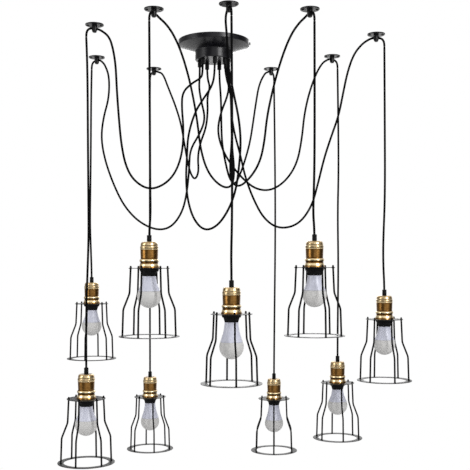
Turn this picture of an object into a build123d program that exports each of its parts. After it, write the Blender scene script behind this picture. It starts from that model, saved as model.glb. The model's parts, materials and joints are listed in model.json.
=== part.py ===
from build123d import *
import math
import os

# A nine-light hanging fixture in millimetres: one round canopy on the ceiling, nine cords that swag
# from it to nine ceiling hooks, and a wire cage with its lampholder and lamp under each hook.
# The origin is the middle of the canopy's mounting bar, on the ceiling, with Z up.

# Cords
cord_diameter = 6.0
cord_grip_play = 0.25        # between a cord and the bore of a cord grip
cord_hook_play = 0.6         # between a cord and the hole in a hook, which it slides through
pivot_gap = 0.3              # between the swag and the drop, which swings

# Where the nine hooks stand, from left to right, and how low each cage plate hangs
hook_spread = 500.0
hook_shares = [(-0.638, -0.344), (-0.740, 0.360), (-0.290, -0.622), (-0.412, 0.664), (0.092, -0.708),
               (0.362, 0.668), (0.504, -0.622), (0.726, 0.334), (0.918, -0.158)]
hang_depth = 1000.0
drop_shares = [1.011, 0.770, 0.660, 1.085, 0.773, 1.092, 0.658, 1.016, 0.803]

# Degrees from +X towards +Y: the way that a drop lies from its hook, and a cord's grip in the canopy
hook_bearings = [206, 143, 245, 130, -73, 64, -65, 36, -5]
grip_bearings = [222, 170, 345, 120, 275, 35, 69, 320, 10]
# Degrees that each cage is turned about its cord
cage_turns = [-14, -8, -18, 17, 10, -3, 19, 8, 15]

# Ceiling hook: a screwed plate, a round post with a cross hole for the cord, and a cap nut
plate_diameter = 50.0
plate_thickness = 2.8
plate_edge_round = 0.9
plate_screw_circle = 36.0
plate_screw_hole = 4.4
post_diameter = 14.5
post_end_height = 17.0       # below the ceiling
cord_hole_height = 11.0      # below the ceiling
clamp_screw_hole = 2.6
clamp_screw_height = 5.2
cap_nut_diameter = 12.5
cap_nut_height = 5.0
cap_nut_chamfer = 2.2
drop_reach = 23.0            # from the post's axis to the line of the drop
hook_bend = 10.5             # the corner cut across the bend from the post into the drop
pivot_depth = 28.0           # from the cord hole down to where the drop swings

# Canopy: a spun dish with a cup below it
canopy_diameter = 207.0
canopy_wall = 1.2
lip_height = 14.0
lip_round = 2.6
dish_fall = 15.0
cup_diameter = 109.0
cup_height = 27.0
cup_round = 2.4
throat_round = 1.6
side_screw_hole = 4.4

# Mounting bar inside the canopy, and the two screws that hold the canopy to it
bar_width = 24.0
bar_thickness = 2.0
bar_tab_height = 11.0
bar_play = 0.3               # between the tabs' corners and the canopy's lip
bar_screw_circle = 60.0
bar_screw_hole = 5.0
side_screw_diameter = 3.8
side_screw_head = 8.0
side_screw_head_height = 2.8
side_screw_head_round = 1.2
side_screw_reach = 5.0       # behind the tab
screw_fit = 0.05

# Terminal block under the bar
block_length = 52.0
block_width = 17.0
block_height = 12.0
block_ways = 5
wire_entry = 4.2
wire_entry_depth = 6.0
block_screw_well = 3.4
block_screw_well_depth = 4.0

# Cord grips in the canopy's cup
grip_circle = 84.0
grip_diameter = 12.0
grip_length = 17.0
grip_chamfer = 1.4
grip_thread = 10.0
grip_thread_length = 7.4
grip_thread_play = 0.1
grip_nut_flats = 14.0
grip_nut_height = 4.2
swag_entry = 26.0            # the straight run of a cord below its grip
swag_inside = 7.0            # how far a cord reaches in above the cup's floor

# Lampholder: a turned brass shell over a moulded core
shell_height = 65.6
shell_radius = 26.3
shell_wall = 1.1
shell_height_shares = [0.0, 0.012, 0.096, 0.148, 0.216, 0.262, 0.300, 0.352, 0.412, 0.671, 0.707, 0.793,
                       0.881, 0.955, 1.0]
shell_radius_shares = [1.0, 1.0, 0.932, 0.859, 0.857, 0.925, 0.900, 0.806, 0.829, 0.852, 0.886, 0.884,
                       0.840, 0.790, 0.700]
shell_waist_share = 0.806
shell_ease_share = 0.30
ridge_count = 5
ridge_first_share = 0.715
ridge_pitch = 2.2
ridge_depth = 0.35
core_play = 0.2
core_height = 45.0
core_skirt = 20.4
core_skirt_shares = [(1.0, 0.54), (0.935, 0.71), (0.855, 1.0)]
core_ease = 1.0
holder_grip_diameter = 12.0
holder_grip_length = 17.2
holder_grip_chamfer = 1.6
holder_thread = 10.0
holder_thread_length = 7.6
holder_thread_play = 0.05
holder_nut_flats = 15.0
holder_nut_height = 3.0
drop_entry = 10.0            # the straight run of a cord above its lampholder
shade_ring_height = 7.5
shade_ring_radius = 24.6
shade_ring_taper = 1.7
shade_ring_round = 0.9
shade_ring_play = 0.05

# E27 screw shell and centre contact
lamp_cap_radius = 13.1
lamp_cap_gap = 0.3
screw_shell_wall = 0.5
screw_shell_play = 0.1
screw_shell_length = 24.0
screw_shell_top = 8.0        # above the cage plate
contact_height = 2.0
contact_radius = 6.0

# Lamp: screw cap, ribless housing and frosted dome. Six of the nine lamps are of a shorter kind.
lamp_radius = 30.3
lamp_length = 91.6           # below the lampholder's skirt
lamp_length_shares = [0.873, 0.873, 0.873, 1.0, 1.0, 1.0, 0.873, 0.873, 0.873]
dome_rise = 12.3             # from the dome's middle up to the housing
lamp_wall = 1.4
lamp_neck_gap = 0.3
housing_depth_shares = [0.0, 0.082, 0.286, 0.531, 0.744, 1.0]
housing_radius_shares = [0.565, 0.571, 0.610, 0.682, 0.788, 0.924]
led_board_thickness = 1.6
led_board_play = 0.8         # at its lower face; the housing closes in above it
cap_root_cut = 0.8
cap_wall = 0.5
cap_thread_pitch = 3.6
cap_thread_count = 5
cap_thread_start = 3.2       # below the top of the cap's barrel
cap_cone_height = 3.8
cap_contact_radius = 4.5

# Cage: a disc, six bent wires and a flat ring, welded
cage_plate_diameter = 103.5
cage_plate_thickness = 1.5
fitter_play = 0.3
wire_diameter = 4.8
wire_count = 6
wire_head = 3.3              # above the plate
wire_inset = 5.25            # from the plate's edge to the wire's axis
cage_length = 173.0
wire_waist_share = 0.370
wire_shoulder_share = 0.601
wire_waist_flare = 3.0
wire_shoulder_flare = 18.8
wire_foot_flare = 20.9
wire_foot_sink = 0.7
wire_ease_share = 0.13
ring_diameter = 153.0
ring_width = 16.5
ring_thickness = 1.5

# Cutting and spacing
overrun = 1.0
arc_share = 0.45

# Worked out from the sizes above
cord_radius = cord_diameter / 2
plate_radius = plate_diameter / 2
pivot_height = -cord_hole_height - pivot_depth
canopy_height = lip_height + dish_fall + cup_height
core_radius = shell_radius * shell_waist_share - shell_wall - core_play
socket_bore = lamp_cap_radius + lamp_cap_gap + screw_shell_wall + screw_shell_play
fitter_radius = core_radius + fitter_play
lamp_top = -core_skirt - lamp_neck_gap
holder_top = shell_height + holder_grip_length

# The free stretch of each swag, from the inner side of its hook to below its grip, chosen by hand
swag_points = [
    [(-297, -161, -17), (-284, -155, -27), (-275, -150, -47), (-266, -143, -98), (-263, -141, -171),
     (-258, -138, -245), (-252, -134, -317), (-241, -126, -377), (-220, -112, -417), (-180, -94, -441),
     (-138, -76, -425), (-107, -61, -389), (-89, -51, -333), (-85, -47, -265), (-91, -44, -199),
     (-89, -41, -156), (-63, -37, -130), (-37, -32, -114)],
    [(-352, 167, -17), (-340, 158, -32), (-328, 160, -67), (-329, 158, -133), (-346, 156, -194),
     (-353, 154, -259), (-339, 151, -331), (-310, 142, -408), (-277, 128, -471), (-231, 106, -519),
     (-175, 80, -546), (-128, 56, -539), (-93, 37, -493), (-79, 28, -430), (-73, 25, -364), (-71, 21, -312),
     (-41, 16, -265), (-25, 12, -222), (-37, 10, -173), (-44, 9, -133)],
    [(-134, -288, -16), (-121, -264, -22), (-104, -233, -38), (-84, -201, -76), (-65, -170, -137),
     (-52, -146, -197), (-42, -128, -259), (-35, -116, -325), (-20, -104, -380), (3, -93, -415),
     (33, -80, -435), (55, -66, -426), (60, -53, -380), (53, -41, -313), (51, -29, -248), (50, -20, -184),
     (47, -14, -137)],
    [(-190, 313, -16), (-173, 292, -26), (-152, 258, -82), (-128, 217, -142), (-108, 187, -205),
     (-97, 166, -265), (-87, 146, -321), (-75, 125, -370), (-60, 100, -393), (-47, 75, -372),
     (-50, 60, -328), (-41, 51, -285), (-24, 45, -243), (-19, 42, -193), (-21, 41, -154), (-12, 39, -123)],
    [(40, -335, -16), (37, -324, -31), (41, -323, -73), (43, -307, -140), (57, -292, -208),
     (72, -276, -275), (77, -260, -334), (72, -245, -395), (64, -226, -454), (44, -201, -506),
     (13, -170, -547), (-23, -139, -558), (-54, -114, -525), (-72, -95, -467), (-77, -82, -403),
     (-74, -73, -339), (-72, -64, -283), (-53, -56, -216), (-27, -50, -174), (-3, -45, -138)],
    [(170, 312, -16), (158, 287, -26), (138, 250, -72), (128, 229, -133), (118, 204, -203),
     (109, 184, -262), (95, 154, -318), (78, 123, -371), (63, 98, -405), (49, 75, -400), (46, 60, -350),
     (52, 49, -282), (51, 40, -217), (51, 33, -165), (44, 29, -125)],
    [(241, -288, -16), (229, -266, -22), (211, -241, -42), (193, -217, -80), (175, -195, -134),
     (160, -174, -192), (148, -160, -251), (142, -150, -313), (131, -132, -366), (106, -101, -406),
     (72, -62, -432), (47, -31, -409), (34, -6, -356), (23, 15, -294), (21, 27, -227), (20, 34, -156)],
    [(344, 153, -17), (330, 143, -28), (311, 138, -60), (288, 124, -123), (272, 115, -193),
     (265, 109, -264), (250, 99, -341), (216, 80, -396), (170, 54, -429), (124, 29, -428), (86, 7, -401),
     (52, -6, -362), (25, -11, -318), (10, -15, -264), (20, -19, -211), (39, -22, -166), (45, -25, -133)],
    [(435, -77, -17), (418, -75, -29), (397, -67, -55), (380, -63, -105), (368, -60, -165),
     (356, -57, -227), (335, -53, -286), (315, -49, -348), (299, -44, -417), (281, -41, -484),
     (243, -32, -536), (187, -22, -547), (144, -13, -516), (114, -7, -458), (91, -2, -395), (77, 0, -330),
     (59, 3, -265), (50, 5, -204), (49, 6, -144)],
]

# The slight waver of each drop: its share of the way down, and how far it stands off the plumb line
# in X and Y, chosen by hand
drop_waver = [
    [(0.08, 3.2, 0.4), (0.30, 4.3, 0.6), (0.52, 6.0, 0.2), (0.61, 6.4, 0.0), (0.72, 3.0, -0.3), (0.84, -0.3, 0.0)],
    [(0.12, -1.8, 0.3), (0.36, -2.6, 0.4), (0.58, -4.0, -0.2), (0.74, -5.4, -0.3), (0.88, -2.2, 0.0)],
    [(0.24, 0.7, 0.4), (0.53, 1.6, 0.8), (0.78, 2.2, 0.2), (0.90, 3.4, 0.0)],
    [(0.30, -1.4, 0.6), (0.66, -0.5, -0.6)],
    [(0.22, 1.1, 0.4), (0.48, 1.7, 0.8), (0.78, 1.3, 0.3), (0.90, -0.8, 0.0)],
    [(0.26, 3.6, 0.7), (0.54, 4.6, 1.0), (0.82, 1.4, 0.2)],
    [(0.30, 0.4, 0.4), (0.62, 0.3, 0.7), (0.79, -1.4, 0.2), (0.90, -3.6, -0.2)],
    [(0.17, 2.2, 0.4), (0.36, 3.4, 0.6), (0.50, 0.2, -0.2), (0.68, 2.6, 0.4), (0.86, 0.8, 0.0)],
    [(0.30, 1.2, 0.4), (0.61, 2.1, 0.6), (0.80, -3.4, -0.3), (0.90, -3.2, -0.4)],
]


def corner_radii(points, share):
    """The arc at each corner that takes the given share of the shorter of its two runs."""
    spots = [Vector(*point) for point in points]
    runs = [after - before for before, after in zip(spots, spots[1:])]
    radii = []
    for before, after in zip(runs, runs[1:]):
        half_turn = math.radians(before.get_angle(after)) / 2
        radii.append(share * min(before.length, after.length) / math.tan(half_turn))
    return radii


def turned(outline, radii):
    """Turn a (radius, height) outline about Z, closed straight from its last corner to its first."""
    edge = FilletPolyline(*[(radius, 0, height) for radius, height in outline], radius=radii)
    closing = Line(edge @ 1, edge @ 0)
    return revolve(make_face([*edge.edges(), closing]), Axis.Z)


def sharp(outline):
    """No easing at any corner between the first and the last."""
    return [0] * (len(outline) - 2)


def bushing(outer, inner, low, high):
    """A plain ring between two radii and two heights."""
    outline = [(inner, low), (outer, low), (outer, high), (inner, high)]
    return turned(outline, sharp(outline))


def rod(radius, low, high):
    """A plain round bar about Z between two heights."""
    return Pos(0, 0, (low + high) / 2) * Cylinder(radius, high - low)


def at_bearing(radius, degrees):
    """The point at a radius and a bearing from the origin, level with it."""
    return Vector(radius * math.cos(math.radians(degrees)), radius * math.sin(math.radians(degrees)))


def hook_place(index):
    """Where a hook's axis meets the ceiling."""
    share_x, share_y = hook_shares[index]
    return Vector(share_x * hook_spread, share_y * hook_spread)


def drop_place(index):
    """Where the plumb line of a drop meets the ceiling."""
    return hook_place(index) + at_bearing(drop_reach, hook_bearings[index])


def plate_level(index):
    """The height of a cage plate's top face."""
    return -hang_depth * drop_shares[index]


def hook_plate():
    """Round plate, screwed to the ceiling, with its top face there."""
    outline = [(0, 0), (plate_radius, 0), (plate_radius, -plate_thickness), (0, -plate_thickness)]
    plate = turned(outline, [0, plate_edge_round])
    hole = rod(plate_screw_hole / 2, -plate_thickness - overrun, overrun)
    for side in (-1, 1):
        plate -= Pos(side * plate_screw_circle / 2, 0, 0) * hole
    return plate


def hook_post():
    """Post under the plate, with the cord's hole along X and the clamp screw's hole from the side."""
    post = rod(post_diameter / 2, -post_end_height, -plate_thickness)
    cord_hole = Rot(0, 90, 0) * Cylinder(cord_radius + cord_hook_play, post_diameter + 2 * overrun)
    post -= Pos(0, 0, -cord_hole_height) * cord_hole
    screw_hole = Rot(90, 0, 0) * Cylinder(clamp_screw_hole / 2, post_diameter / 2)
    return post - Pos(0, -post_diameter / 2, -clamp_screw_height) * screw_hole


def cap_nut():
    """Turned cap that closes the post's lower end."""
    radius = cap_nut_diameter / 2
    top = -post_end_height
    bottom = top - cap_nut_height
    chamfer_top = bottom + cap_nut_chamfer
    outline = [(0, top), (radius, top), (radius, chamfer_top), (radius - cap_nut_chamfer, bottom), (0, bottom)]
    return turned(outline, sharp(outline))


def canopy_shell():
    """Spun dish and cup in one sheet, with holes for the grips and the two side screws."""
    radius = canopy_diameter / 2
    cup_radius = cup_diameter / 2
    dish_low = -lip_height - dish_fall
    floor = -canopy_height
    slope = math.atan2(dish_fall, radius - cup_radius)
    lift = canopy_wall / math.cos(slope)
    inner_radius = radius - canopy_wall
    inner_lip = -lip_height - canopy_wall * math.tan(slope) + lift
    inner_cup = cup_radius - canopy_wall
    inner_throat = dish_low - canopy_wall * math.tan(slope) + lift
    outline = [
        (0, floor + canopy_wall), (inner_cup, floor + canopy_wall), (inner_cup, inner_throat),
        (inner_radius, inner_lip), (inner_radius, 0), (radius, 0), (radius, -lip_height),
        (cup_radius, dish_low), (cup_radius, floor), (0, floor),
    ]
    inner_round = lip_round - canopy_wall
    inner_cup_round = cup_round - canopy_wall
    radii = [inner_cup_round, throat_round + canopy_wall, inner_round, 0, 0, lip_round, throat_round, cup_round]
    shell = turned(outline, radii)
    grip_hole = rod(grip_thread / 2 + grip_thread_play, floor - overrun, floor + canopy_wall + overrun)
    for bearing in grip_bearings:
        shell -= Pos(at_bearing(grip_circle / 2, bearing)) * grip_hole
    side_hole = Rot(0, 90, 0) * Cylinder(side_screw_hole / 2, canopy_wall * 4)
    for side in (-1, 1):
        shell -= Pos(side * radius, 0, -side_screw_height()) * side_hole
    return shell


def side_screw_height():
    """How far below the ceiling the side screws are: halfway down the flat of the lip."""
    return (lip_height - lip_round + bar_thickness) / 2


def tab_face():
    """The outer face of the bar's tabs, whose corners stay inside the canopy's lip."""
    inner_radius = canopy_diameter / 2 - canopy_wall
    return math.sqrt((inner_radius - bar_play) ** 2 - (bar_width / 2) ** 2)


def mounting_bar():
    """Steel strap across the canopy, with a tab bent down at each end and two ceiling screw holes."""
    reach = tab_face()
    bar = Pos(0, 0, -bar_thickness / 2) * Box(2 * reach, bar_width, bar_thickness)
    for side in (-1, 1):
        tab = Box(bar_thickness, bar_width, bar_tab_height)
        bar += Pos(side * (reach - bar_thickness / 2), 0, -bar_tab_height / 2) * tab
    for side in (-1, 1):
        thread = Rot(0, 90, 0) * Cylinder(side_screw_diameter / 2 + screw_fit, bar_thickness * 3)
        bar -= Pos(side * reach, 0, -side_screw_height()) * thread
        screw_hole = rod(bar_screw_hole / 2, -bar_thickness - overrun, overrun)
        bar -= Pos(side * bar_screw_circle / 2, 0, 0) * screw_hole
    return bar


def side_screw(side):
    """Round-headed screw through the lip into the bar's tab; its axis is along X."""
    head_face = canopy_diameter / 2
    head_radius = side_screw_head / 2
    start = tab_face() - bar_thickness - side_screw_reach
    outline = [
        (0, start), (side_screw_diameter / 2, start), (side_screw_diameter / 2, head_face),
        (head_radius, head_face), (head_radius, head_face + side_screw_head_height),
        (0, head_face + side_screw_head_height),
    ]
    screw = turned(outline, [0, 0, 0, side_screw_head_round])
    return Pos(0, 0, -side_screw_height()) * (Rot(0, side * 90, 0) * screw)


def terminal_block():
    """Moulded block under the bar, with a row of wire entries on each long side and screw wells below."""
    top = -bar_thickness
    block = Pos(0, 0, top - block_height / 2) * Box(block_length, block_width, block_height)
    pitch = block_length / block_ways
    entry = Rot(90, 0, 0) * Cylinder(wire_entry / 2, wire_entry_depth)
    well = Cylinder(block_screw_well / 2, block_screw_well_depth)
    for way in range(block_ways):
        x = (way - (block_ways - 1) / 2) * pitch
        for side in (-1, 1):
            y = side * (block_width - wire_entry_depth) / 2
            block -= Pos(x, y, top - block_height / 2) * entry
            well_level = top - block_height + block_screw_well_depth / 2
            block -= Pos(x, side * block_width / 4, well_level) * well
    return block


def hex_nut(flats, bore, low, high):
    """Plain hexagon nut between two heights."""
    nut = Pos(0, 0, (low + high) / 2) * extrude(RegularPolygon(flats / 2, 6, major_radius=False), high - low)
    return Pos(0, 0, (low - high) / 2) * nut - rod(bore, low - overrun, high + overrun)


def cord_grip(mouth, seat, thread_end, radius, thread_radius, chamfer):
    """Cord grip: a body from its mouth to its seat, a thread beyond it, and the cord's bore."""
    away = math.copysign(chamfer, mouth - seat)
    bore = cord_radius + cord_grip_play
    outline = [
        (bore, mouth), (radius - chamfer, mouth), (radius, mouth - away), (radius, seat),
        (thread_radius, seat), (thread_radius, thread_end), (bore, thread_end),
    ]
    return turned(outline, sharp(outline))


def canopy_grip():
    """Cord grip below the cup's floor and its nut above the floor, on the cup's axis."""
    floor = -canopy_height
    seat = floor + canopy_wall
    grip = cord_grip(floor - grip_length, floor, floor + grip_thread_length, grip_diameter / 2,
                     grip_thread / 2, grip_chamfer)
    nut = hex_nut(grip_nut_flats, grip_thread / 2 + screw_fit, seat, seat + grip_nut_height)
    return [grip, nut]


def shell_outline():
    """The brass shell's outside, from its open foot to its top, as (radius, height) corners."""
    return [(shell_radius * radius, shell_height * height)
            for radius, height in zip(shell_radius_shares, shell_height_shares)]


def radius_at(outline, height):
    """The radius of an outline that runs upwards, at a height between two of its corners."""
    for (low_radius, low), (high_radius, high) in zip(outline, outline[1:]):
        if low <= height <= high:
            return low_radius + (high_radius - low_radius) * (height - low) / (high - low)
    return outline[-1][0]


def brass_shell():
    """Turned shell of one wall, eased at its beads and waist, with fine ridges round its shoulder."""
    outside = shell_outline()
    top_hole = holder_thread / 2 + holder_thread_play
    ceiling = shell_height - shell_wall
    inside = [(radius - shell_wall, height) for radius, height in outside if height < ceiling]
    inside.append((radius_at(outside, ceiling) - shell_wall, ceiling))
    outline = outside + [(top_hole, shell_height), (top_hole, ceiling)] + inside[::-1]
    outer_radii = corner_radii([(radius, 0, height) for radius, height in outside], shell_ease_share)
    inner_radii = corner_radii([(radius, 0, height) for radius, height in inside], shell_ease_share)
    shell = turned(outline, outer_radii + [0, 0, 0, 0] + inner_radii[::-1])
    for ridge in range(ridge_count):
        height = shell_height * ridge_first_share + ridge * ridge_pitch
        groove_floor = radius_at(outside, height) - ridge_depth
        shell -= bushing(shell_radius + overrun, groove_floor, height, height + ridge_pitch / 3)
    return shell


def screw_shell():
    """Plain tube that takes the lamp's screw cap."""
    outer = lamp_cap_radius + lamp_cap_gap + screw_shell_wall
    return bushing(outer, outer - screw_shell_wall, screw_shell_top - screw_shell_length, screw_shell_top)


def socket_core():
    """Moulded core from inside the brass shell down to the lamp, with the socket's bore."""
    skirt = [(core_radius * radius, -core_skirt * height) for radius, height in core_skirt_shares]
    top = screw_shell_top + contact_height
    outline = [(0, core_height), (core_radius, core_height), *skirt, (socket_bore, -core_skirt),
               (socket_bore, top), (0, top)]
    return turned(outline, [core_ease, 0, 0, 0, 0, 0])


def shade_ring():
    """Threaded ring under the cage plate, tapering downwards."""
    top = -cage_plate_thickness
    bottom = top - shade_ring_height
    bore = core_radius + shade_ring_play
    outline = [(bore, top), (shade_ring_radius, top), (shade_ring_radius - shade_ring_taper, bottom), (bore, bottom)]
    return turned(outline, [shade_ring_round, shade_ring_round])


def holder_grip():
    """Cord grip on the brass shell's top and its nut inside."""
    ceiling = shell_height - shell_wall
    grip = cord_grip(holder_top, shell_height, shell_height - holder_thread_length, holder_grip_diameter / 2,
                     holder_thread / 2, holder_grip_chamfer)
    nut = hex_nut(holder_nut_flats, holder_thread / 2 + screw_fit, ceiling - holder_nut_height, ceiling)
    return [grip, nut]


def cage():
    """Disc, six bent wires and a flat ring, welded into one."""
    plate_outer = cage_plate_diameter / 2
    wire_radius = wire_diameter / 2
    head_reach = plate_outer - wire_inset
    body = bushing(plate_outer, fitter_radius, -cage_plate_thickness, 0)
    ring_outer = ring_diameter / 2
    body += bushing(ring_outer, ring_outer - ring_width, -cage_length, -cage_length + ring_thickness)
    bends = [
        (head_reach, 0, wire_head),
        (head_reach + wire_waist_flare, 0, -cage_length * wire_waist_share),
        (head_reach + wire_shoulder_flare, 0, -cage_length * wire_shoulder_share),
        (head_reach + wire_foot_flare, 0, -cage_length + wire_foot_sink),
    ]
    line = FilletPolyline(*bends, radius=corner_radii(bends, wire_ease_share))
    wire = sweep(Plane(origin=line @ 0, z_dir=line % 0) * Circle(wire_radius), path=line)
    wire += Pos(head_reach, 0, wire_head) * Sphere(wire_radius)
    for number in range(wire_count):
        body += Rot(0, 0, number * 360 / wire_count - 90) * wire
    return body


def lamp_cap():
    """Thin screw cap with rounded thread turns, and the insulator and contact on its top."""
    root = lamp_cap_radius - cap_root_cut / 2
    inside = root - cap_root_cut / 2 - cap_wall
    top = screw_shell_top - lamp_cap_gap
    barrel_top = top - cap_cone_height
    outline = [
        (inside, lamp_top), (root, lamp_top), (root, barrel_top), (cap_contact_radius, top), (0, top),
        (0, top - cap_wall), (cap_contact_radius - cap_wall, top - cap_wall),
        (inside, barrel_top - cap_wall),
    ]
    cap = turned(outline, sharp(outline))
    for turn in range(cap_thread_count):
        level = barrel_top - cap_thread_start - turn * cap_thread_pitch
        cap += Pos(0, 0, level) * Torus(root, cap_root_cut / 2)
    return cap


def dome_middle(length):
    """The height of the middle of a lamp's dome."""
    return lamp_top - length + lamp_radius


def lamp_housing(length):
    """Moulded housing that swells from the neck to the dome."""
    depth = lamp_top - dome_middle(length) - dome_rise
    outer = [(lamp_radius * radius, 0, lamp_top - depth * share)
             for radius, share in zip(housing_radius_shares, housing_depth_shares)]
    inner = [(radius - lamp_wall, 0, height) for radius, _, height in outer]
    sides = [Spline(*outer), Spline(*inner), Line(outer[0], inner[0]), Line(outer[-1], inner[-1])]
    return revolve(make_face(sides), Axis.Z)


def lamp_dome(length):
    """Frosted dome: a sphere's lower part, of one wall, from the housing down."""
    below_join = Pos(0, 0, dome_rise - lamp_radius) * Box(2 * lamp_radius, 2 * lamp_radius, 2 * lamp_radius)
    return Pos(0, 0, dome_middle(length)) * ((Sphere(lamp_radius) & below_join) - Sphere(lamp_radius - lamp_wall))


def led_board(length):
    """Round board across the housing's mouth."""
    join = dome_middle(length) + dome_rise
    rim = lamp_radius * housing_radius_shares[-1] - lamp_wall - led_board_play
    return rod(rim, join, join + led_board_thickness)


def cord_tube(points):
    """Sweep a cord along straight runs joined by tangent arcs, and print what its bends and volume are."""
    radii = corner_radii(points, arc_share)
    line = FilletPolyline(*points, radius=radii)
    section = Plane(origin=line @ 0, z_dir=line % 0) * Circle(cord_radius)
    tube = sweep(section, path=line)
    share = tube.volume / (math.pi * cord_radius ** 2 * line.length)
    print(f"cord of {line.length:.0f} mm, least bend radius {min(radii):.0f} mm, volume share {share:.4f}")
    print("    bend radii", [round(radius) for radius in radii])
    return tube


def swag(index):
    """The cord from a pivot, up through its hook and across to its grip in the canopy."""
    plumb = Vector(0, 0, -cord_hole_height)
    bearing = hook_bearings[index]
    hook = hook_place(index) + plumb
    drop_line = drop_place(index)
    canopy_end = at_bearing(grip_circle / 2, grip_bearings[index])
    points = [
        drop_line + Vector(0, 0, pivot_height + cord_radius + pivot_gap),
        drop_line + plumb - Vector(0, 0, hook_bend),
        hook + at_bearing(drop_reach - hook_bend, bearing),
        hook - at_bearing(hook_bend, bearing),
        *[Vector(*point) for point in swag_points[index]],
        canopy_end - Vector(0, 0, canopy_height + grip_length + swag_entry),
        canopy_end - Vector(0, 0, canopy_height - swag_inside),
    ]
    return cord_tube([tuple(point) for point in points])


def drop(index):
    """The cord from its pivot down into its lampholder, with a round end at the pivot."""
    plumb_line = drop_place(index)
    mouth = plate_level(index) + holder_top
    fall = pivot_height - mouth
    points = [plumb_line + Vector(0, 0, pivot_height)]
    for share, off_x, off_y in drop_waver[index]:
        points.append(plumb_line + Vector(off_x, off_y, pivot_height - share * fall))
    points.append(plumb_line + Vector(0, 0, mouth + drop_entry))
    points.append(plumb_line + Vector(0, 0, plate_level(index) + core_height))
    tube = cord_tube([tuple(point) for point in points])
    return tube + Pos(points[0]) * Sphere(cord_radius)


def save(node, solids):
    """Write one node's solids."""
    shapes = []
    for solid in solids:
        shapes.extend(solid.solids())
    export_step(Compound(shapes), f"parts/{node}.step")


def main():
    os.makedirs("parts", exist_ok=True)
    count = len(hook_shares)

    save("canopy_shell", [canopy_shell()])
    save("canopy_mounting_bar", [mounting_bar(), side_screw(-1), side_screw(1)])
    save("canopy_terminal_block", [terminal_block()])
    grip = canopy_grip()
    save("canopy_cord_grips", [Pos(at_bearing(grip_circle / 2, bearing)) * piece
                               for bearing in grip_bearings for piece in grip])

    plate = hook_plate()
    post = hook_post()
    nut = cap_nut()
    save("hook_plates", [Pos(hook_place(index)) * plate for index in range(count)])
    posts = []
    for index in range(count):
        posts.append(Pos(hook_place(index)) * (Rot(0, 0, hook_bearings[index]) * post))
        posts.append(Pos(hook_place(index)) * nut)
    save("hook_posts", posts)

    shell_pieces = [brass_shell(), screw_shell(), rod(contact_radius, screw_shell_top, screw_shell_top + contact_height)]
    insert_pieces = [*holder_grip(), socket_core(), shade_ring()]
    cap = lamp_cap()
    lamps = {share: [cap, lamp_housing(lamp_length * share), lamp_dome(lamp_length * share),
                     led_board(lamp_length * share)] for share in set(lamp_length_shares)}
    cage_piece = cage()
    for index in range(count):
        number = index + 1
        place = Pos(drop_place(index) + Vector(0, 0, plate_level(index)))
        save(f"swag_cord_{number}", [swag(index)])
        save(f"pendant_{number}_cord", [drop(index)])
        save(f"pendant_{number}_lampholder_shell", [place * piece for piece in shell_pieces])
        save(f"pendant_{number}_lampholder_insert", [place * piece for piece in insert_pieces])
        save(f"pendant_{number}_lamp", [place * piece for piece in lamps[lamp_length_shares[index]]])
        save(f"pendant_{number}_cage", [place * (Rot(0, 0, cage_turns[index]) * cage_piece)])


main()
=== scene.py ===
# %% [markdown]
# A nine-light cage pendant, dressed around its engineering model.
# The engineering model already holds every piece at its true size and place. This notebook gives each
# visible piece its finish, and remakes the ones whose surface needs more than a machined outline: the
# braided cords, the turned brass shells, the welded cages, the lamps and the canopy's cord grips.

# %% Load the engineering model
import json
import math

import bmesh
import bpy
from mathutils import Matrix, Vector


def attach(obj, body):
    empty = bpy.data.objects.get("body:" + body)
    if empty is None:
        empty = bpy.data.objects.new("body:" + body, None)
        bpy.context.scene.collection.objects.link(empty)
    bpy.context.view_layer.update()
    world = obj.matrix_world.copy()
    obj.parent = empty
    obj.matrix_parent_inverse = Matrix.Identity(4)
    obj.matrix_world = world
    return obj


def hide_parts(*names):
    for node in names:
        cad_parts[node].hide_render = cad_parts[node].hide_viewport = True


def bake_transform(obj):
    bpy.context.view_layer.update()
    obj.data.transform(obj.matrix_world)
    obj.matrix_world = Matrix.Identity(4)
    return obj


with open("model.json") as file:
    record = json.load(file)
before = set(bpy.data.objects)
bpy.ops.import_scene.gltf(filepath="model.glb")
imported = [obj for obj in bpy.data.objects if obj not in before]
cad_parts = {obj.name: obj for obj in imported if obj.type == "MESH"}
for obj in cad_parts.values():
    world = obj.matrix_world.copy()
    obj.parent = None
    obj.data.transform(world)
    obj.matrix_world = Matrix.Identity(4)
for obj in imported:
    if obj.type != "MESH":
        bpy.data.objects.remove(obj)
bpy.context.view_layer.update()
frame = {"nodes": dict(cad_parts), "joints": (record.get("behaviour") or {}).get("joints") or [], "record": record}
MM = 0.001
COUNT = 9
ROOT = "ceiling_fittings"
mounts = {mount["name"]: mount for mount in frame["record"]["mounts"]}
joints = {joint["name"]: joint for joint in frame["joints"]}
numbers = range(1, COUNT + 1)
pivots = {n: Vector(joints[f"pendant_{n}_swing"]["pos_m"]) for n in numbers}
plate_tops = {n: Vector(joints[f"lamp_{n}_turn"]["pos_m"]) for n in numbers}
hooks = {n: Vector((*mounts[f"hook_{n}_screws"]["pos_m"][:2], 0)) for n in numbers}

# %% [markdown]
# The photograph was taken from the front, a little more than an arm's length below the ceiling, with a
# long lens, so upright lines stay upright. A level camera keeps them so, and a small upward shift of the
# frame puts the horizon where it is in the picture, below the middle.

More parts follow.
